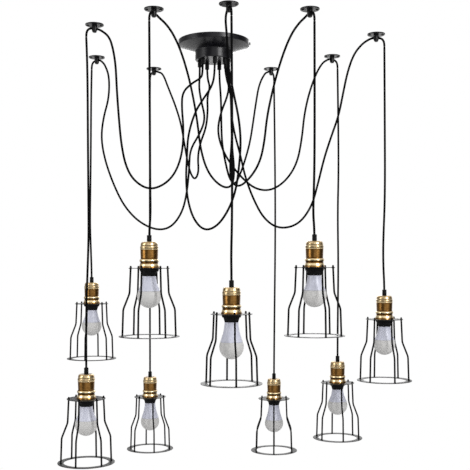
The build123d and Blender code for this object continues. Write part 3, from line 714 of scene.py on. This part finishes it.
core_corners = [(0, 45), (19.9, 45), (19.9, -11.0), (18.6, -14.5), (17.0, -20.4), (14.0, -20.4), (14.0, 10),
                (0, 10)]
core_ribs = ribs(count=36, depth_mm=0.7, low=-20.2, high=-12.5, least_radius=16.5)
core = lathe("core", eased(core_corners, 0.8), moulding_finish, sides=144, carve=core_ribs)
ring_corners = [(19.95, -5), (19.95, -1.5), (24.6, -1.5), (24.3, -4.5), (22.9, -9.0), (19.95, -9.0),
                (19.95, -5)]
ring_ribs = ribs(count=24, depth_mm=0.8, low=-8.6, high=-3.0, least_radius=22.0)
shade_ring = lathe("shade_ring", eased(ring_corners, 0.8)[:-1], moulding_finish, sides=144, closed=True,
                   carve=ring_ribs)
THREAD_TEETH = [(4.7 if tooth % 2 else 5.0, -0.8 - 0.75 * tooth) for tooth in range(9)]
CORD_BORE = 3.25
grip_corners = [(5.0, 0), (6.0, 0), (6.0, 9.6), (5.6, 10.0), (5.6, 10.6), (6.0, 11.0), (6.0, 16.4),
                (5.2, 17.2), (CORD_BORE, 17.2), (CORD_BORE, -7.4), (4.7, -7.4)]
grip_outline = eased(grip_corners, 0.4) + THREAD_TEETH[::-1]
grip_ribs = ribs(count=18, depth_mm=0.4, low=11.2, high=16.3, least_radius=5.7)
grip = lathe("grip", grip_outline, moulding_finish, sides=72, closed=True, smooth_degrees=40,
             carve=grip_ribs)
canopy_grip = grip.copy()
bpy.context.scene.collection.objects.link(canopy_grip)
on_top = Matrix.Translation((0, 0, SHELL_TOP * MM))
insert = joined("insert", [(core, [HERE]), (shade_ring, [HERE]), (grip, [on_top])])
place_copies(insert, "lampholder_mouldings", plate_tops, "pendant_{}",
             "pendant_{}_lampholder_insert")

# %% [markdown]
# The same cord grip holds each cord in the floor of the canopy's cup, mouth down, with a hexagon nut above
# the sheet. Nine of them and their nuts are one piece here, because they never move apart.

# %% Cord grips of the canopy
CUP_FLOOR = -56 * MM
NUT_FLATS = 14
NUT_LOW, NUT_HIGH = -54.8, -50.6
nut_corner = NUT_FLATS / 2 / math.cos(math.pi / 6)
nut_outline = washer(GRIP_HOLE, nut_corner, NUT_LOW, NUT_HIGH, ease_mm=0.5)
nut = lathe("nut", nut_outline, moulding_finish, sides=6, closed=True)
grip_spots = [(GRIP_CIRCLE * math.cos(math.radians(b)), GRIP_CIRCLE * math.sin(math.radians(b)))
              for b in grip_bearings]
grip_places = [Matrix.Translation((x, y, CUP_FLOOR)) @ UPSIDE_DOWN for x, y in grip_spots]
nut_places = [Matrix.Translation((x, y, 0)) for x, y in grip_spots]
canopy_grips = joined("canopy_grips_ribbed", [(canopy_grip, grip_places), (nut, nut_places)])
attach(canopy_grips, ROOT)
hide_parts("canopy_cord_grips")

# %% [markdown]
# A cage is six bent wires between a disc and a flat ring. The bends are made over a small former, so the
# straight runs meet in short arcs. The top of each wire comes through the disc and is rounded over, and a
# weld fills the corner where a wire meets a flat.

# %% Cage
WIRE_RADIUS = 2.4
WIRE_BEND = 33
wire_corners = [(46.5, 3.3), (49.5, -64.0), (65.3, -104.0), (67.4, -172.3)]
WELD = [(2.2, 0), (3.9, 0), (3.1, 0.5), (2.6, 1.3), (2.2, 2.0)]
cage_turns = [-14, -8, -18, 17, 10, -3, 19, 8, 15]
PLATE_LOW, RING_HIGH, RING_LOW = -1.5, -171.5, -173
PLATE_HOLE, PLATE_RADIUS, RING_HOLE, RING_RADIUS = 20.2, 51.75, 60, 76.5
FLAT_EASE = 0.4
HEAD_SHARE = 0.07              # of the way down a wire's first run, where it leaves the plate

wire_line = [Vector((point.x * MM, 0, point.y * MM)) for point in eased(wire_corners, WIRE_BEND, steps=8)]
wire = tube("wire", wire_line, WIRE_RADIUS * MM, wire_finish, sides=20, dome_start=True)
weld = lathe("weld", WELD, wire_finish, sides=20, closed=True)
around = [Matrix.Rotation(math.radians(60 * number - 90), 4, "Z") for number in range(6)]
head_x = wire_corners[0][0] + (wire_corners[1][0] - wire_corners[0][0]) * HEAD_SHARE
weld_places = []
for turn in around:
    weld_places.append(turn @ Matrix.Translation((wire_corners[0][0] * MM, 0, 0)))
    weld_places.append(turn @ Matrix.Translation((head_x * MM, 0, PLATE_LOW * MM)) @ UPSIDE_DOWN)
    weld_places.append(turn @ Matrix.Translation((wire_corners[-1][0] * MM, 0, RING_HIGH * MM)))
wires = joined("wires", [(wire, around), (weld, weld_places)])
place_copies(wires, "cage_wires", plate_tops, "pendant_{}", "pendant_{}_cage", cage_turns)
disc_outline = washer(PLATE_HOLE, PLATE_RADIUS, PLATE_LOW, 0, FLAT_EASE)
disc = lathe("disc", disc_outline, strip_finish, sides=128, closed=True)
foot_outline = washer(RING_HOLE, RING_RADIUS, RING_LOW, RING_HIGH, FLAT_EASE)
foot = lathe("foot", foot_outline, strip_finish, sides=160, closed=True)
flats = joined("flats", [(disc, [HERE]), (foot, [HERE])])
place_copies(flats, "cage_disc_and_ring", plate_tops, "pendant_{}")

# %% [markdown]
# The lamp is three pieces: a nickel-plated screw cap with its rolled thread, a housing that swells from
# the neck, and a dome that is part of a sphere. The housing's outline is a curve drawn through six measured
# radii, and a fine seam stays open between it and the dome, as it does on the real lamp. Lamps 4 to 6 are
# nearly twelve millimetres longer than the others in the picture, all of it in the housing, so there are two
# patterns of each piece.

# %% Lamp


def curve_through(points, steps):
    """A smooth line through every point, by the Catmull-Rom rule."""
    line = [Vector(point) for point in points]
    line = [2 * line[0] - line[1], *line, 2 * line[-1] - line[-2]]
    out = []
    for a, b, c, d in zip(line, line[1:], line[2:], line[3:]):
        for step in range(steps):
            t = step / steps
            out.append(0.5 * (2 * b + (c - a) * t + (2 * a - 5 * b + 4 * c - d) * t ** 2
                              + (3 * b - a - 3 * c + d) * t ** 3))
    return out + [line[-2]]


LAMP_TOP = -20.7
LAMP_RADIUS = 30.3
LAMP_WALL = 1.4
housing_spots = [(17.1, 0), (17.3, 0.082), (18.5, 0.286), (20.7, 0.531), (23.9, 0.744), (28.0, 1)]


def housing_outline(join):
    """The housing's closed outline, down to the height where it meets the dome."""
    spots = [(radius, LAMP_TOP + (join - LAMP_TOP) * share) for radius, share in housing_spots]
    line = curve_through(spots, 10)
    inner = [(point.x - LAMP_WALL, point.y) for point in line[-2::-1]]
    return [(16.6, LAMP_TOP), (16.9, LAMP_TOP - 0.1), *line[1:-1], (27.9, join + 0.35), (27.6, join), *inner]


def dome_line(radius, middle, top, steps=36):
    """The outline of a sphere's lower part, from a height down to its lowest point."""
    start = math.asin((top - middle) / radius)
    angles = [start - (start + math.pi / 2) * step / steps for step in range(steps + 1)]
    return [(max(radius * math.cos(a), 0), middle + radius * math.sin(a)) for a in angles]


def dome_outline(join, middle):
    """The dome's outline: its rim at the seam, its outside down to the lowest point, and its inside."""
    outer = dome_line(LAMP_RADIUS, middle, join - 0.6)[:-1]
    inner = dome_line(LAMP_RADIUS - LAMP_WALL, middle, join - 0.6)[::-1]
    return [(27.2, join - 0.1), *outer, (0, middle - LAMP_RADIUS), *inner]


# Two kinds of lamp: the height of the join, the height of the dome's middle, and the lamps that have them
LAMP_KINDS = [(-69.7, -82.0, (4, 5, 6)), (-58.1, -70.4, (1, 2, 3, 7, 8, 9))]
for join, middle, which in LAMP_KINDS:
    housing = lathe("housing", housing_outline(join), housing_finish, sides=112, closed=True)
    place_copies(housing, "lamp_housing", plate_tops, "lamp_{}", "pendant_{}_lamp",
                 which=which)
    dome = lathe("dome", dome_outline(join, middle), dome_finish, sides=112, closed=True)
    place_copies(dome, "lamp_dome", plate_tops, "lamp_{}", which=which)

CAP_RADIUS = 12.7
CAP_SHOULDER = 3.9             # the height where the barrel ends
CAP_THREAD = 0.4
cap_line = resampled([(CAP_RADIUS, LAMP_TOP), (CAP_RADIUS, CAP_SHOULDER)], 0.45)
cap_outline = [(11.8, LAMP_TOP), *cap_line, (4.5, 7.7), (0, 7.7), (0, 7.2), (4.0, 7.2), (11.8, 3.4)]


def cap_thread(radius, height, turn):
    """The cap's rolled thread, which fades out at both ends of its barrel."""
    if radius < 12.5:
        return radius
    fade = min(max((height + 18) / 3, 0), max((3.4 - height) / 2, 0), 1)
    return radius + CAP_THREAD * fade * thread_wave(height, turn)


cap = lathe("cap", cap_outline, nickel_finish, sides=72, closed=True, carve=cap_thread)
place_copies(cap, "lamp_cap", plate_tops, "lamp_{}")

# %% [markdown]
# Each hook plate is held by two screws with round heads.

# %% Hook screws
head_outline = eased([(0, -4.9), (2.4, -4.7), (3.7, -3.6), (3.8, -2.8), (0, -2.8)], 0.5)
screw_head = lathe("screw_head", head_outline, hook_finish, sides=32)
SCREW_OUT = 18 * MM
screw_places = [Matrix.Translation(hooks[n] + Vector((side * SCREW_OUT, 0, 0)))
                for n in numbers for side in (-1, 1)]
hook_screws = joined("hook_screw_heads", [(screw_head, screw_places)])
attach(hook_screws, ROOT)

# %% [markdown]
# The light is photographed as a product: white all round, a large soft light in front, a weaker one on the
# left and one behind. The background that the camera sees is white by its own colour; the room that
# lights the pieces is dimmer, so that they keep their tones. Polished brass shows what stands round it, and a
# room that is white all over makes it look flat, so what it mirrors has three dark upright stripes, as if
# black cloths hung there.

# %% Room
world = bpy.data.worlds.new("studio")
bpy.context.scene.world = world
world.use_nodes = True
world.node_tree.nodes.clear()
ROOM_LIGHT = 0.5
WHITE = (1, 1, 1, 1)
CLOTH_FADE = (0.3, 0.6)        # how steep a direction is where the cloths begin to end, and have ended
# The bearing of each cloth in degrees, how close to it the dark starts and is full, and its depth
STRIPES = [(-34, 0.86, 0.98, 0.75), (98, 0.72, 0.94, 0.88), (-120, 0.78, 0.97, 0.7)]


def looking_rays(holder):
    """One for the rays that look at a thing, straight, mirrored or through glass, and nought for others."""
    rays = add(holder, "LightPath").node.outputs
    either = add(holder, "Math", {0: rays["Is Camera Ray"], 1: rays["Is Glossy Ray"]}, operation="MAXIMUM")
    return add(holder, "Math", {0: either, 1: rays["Is Transmission Ray"]}, operation="MAXIMUM")


def dark_stripe(value, bearing, start, full, depth):
    """Take depth away from a value, in a soft upright stripe of the room round one bearing."""
    middle = (math.sin(math.radians(bearing)), -math.cos(math.radians(bearing)), 0)
    near = add(world, "VectorMath", {0: level_way, 1: middle}, operation="DOT_PRODUCT")
    dark = add(world, "MapRange", {"Value": near.node.outputs["Value"], "From Min": start, "From Max": full,
                                   "To Min": 0, "To Max": depth}, interpolation_type="SMOOTHSTEP")
    low = add(world, "Math", {0: dark, 1: cloth}, operation="MULTIPLY")
    return add(world, "Math", {0: value, 1: low}, operation="SUBTRACT")


way = add(world, "TexCoord").node.outputs["Generated"]
flat_way = add(world, "VectorMath", {0: way, 1: (1, 1, 0)}, operation="MULTIPLY")
level_way = add(world, "VectorMath", {0: flat_way}, operation="NORMALIZE")
upward = add(world, "SeparateXYZ", {0: way}).node.outputs[2]
steep = add(world, "Math", {0: upward}, operation="ABSOLUTE")
cloth = add(world, "MapRange", {"Value": steep, "From Min": CLOTH_FADE[0], "From Max": CLOTH_FADE[1],
                                "To Min": 1, "To Max": 0}, interpolation_type="SMOOTHSTEP")
stripes = 1.0
for bearing, start, full, depth in STRIPES:
    stripes = dark_stripe(stripes, bearing, start, full, depth)
glossy = add(world, "LightPath").node.outputs["Is Glossy Ray"]
mirrored = add(world, "Mix", {0: glossy, 2: 1.0, 3: stripes})
seen = add(world, "Background", {"Color": WHITE, "Strength": mirrored})
room = add(world, "Background", {"Color": WHITE, "Strength": ROOM_LIGHT})
shown = add(world, "MixShader", {0: looking_rays(world), 1: room, 2: seen})
out = world.node_tree.nodes.new("ShaderNodeOutputWorld")
world.node_tree.links.new(shown, out.inputs[0])

# %% Soft lights


def soft_light(name, place, aim, width, height, watts):
    """A rectangular soft light at a place, turned to face a point."""
    data = bpy.data.lights.new(name, "AREA")
    data.shape = "RECTANGLE"
    data.size = width
    data.size_y = height
    data.energy = watts
    lamp = bpy.data.objects.new(name, data)
    lamp.location = place
    lamp.rotation_euler = (Vector(aim) - Vector(place)).to_track_quat("-Z", "Y").to_euler()
    bpy.context.scene.collection.objects.link(lamp)


MIDDLE = (0.05, 0, -0.75)
soft_light("soft_light_front", (1.7, -2.1, 0.3), MIDDLE, width=0.9, height=1.5, watts=38)
soft_light("soft_light_left", (-2.2, -1.2, -0.3), MIDDLE, width=0.9, height=1.6, watts=16)
soft_light("soft_light_behind", (0.2, 2.4, 0.2), MIDDLE, width=1.6, height=1.0, watts=20)

# %% [markdown]
# The floor is a pale disc that takes the light's shadow. Its own white takes over towards the rim, for the
# rays that look at it, so that no edge shows where it meets the white behind it.

# %% Floor
FLOOR_LEVEL = -2.35
FLOOR_RADIUS = 4000            # millimetres
FADE_START, FADE_END = 1.0, 3.2
floor_finish = new_finish("pale_floor", Roughness=0.8)
floor_shader = floor_finish.node_tree.nodes["Principled BSDF"]
floor_shader.inputs["Base Color"].default_value = linear("f2f2f2")
reach = add(floor_finish, "VectorMath", {0: add(floor_finish, "TexCoord")}, operation="LENGTH")
outer = add(floor_finish, "MapRange", {"Value": reach.node.outputs["Value"], "From Min": FADE_START,
                                       "From Max": FADE_END}, interpolation_type="SMOOTHSTEP")
share = add(floor_finish, "Math", {0: outer, 1: looking_rays(floor_finish)}, operation="MULTIPLY")
white = add(floor_finish, "Emission", {"Color": WHITE, "Strength": 1.0})
fade = add(floor_finish, "MixShader", {0: share, 1: floor_shader.outputs[0], 2: white})
floor_finish.node_tree.links.new(fade, floor_finish.node_tree.nodes["Material Output"].inputs[0])
floor = lathe("floor", [(0, 0), (FLOOR_RADIUS, 0)], floor_finish, sides=64)
floor.location.z = FLOOR_LEVEL

bpy.context.scene.view_settings.view_transform = "Standard"
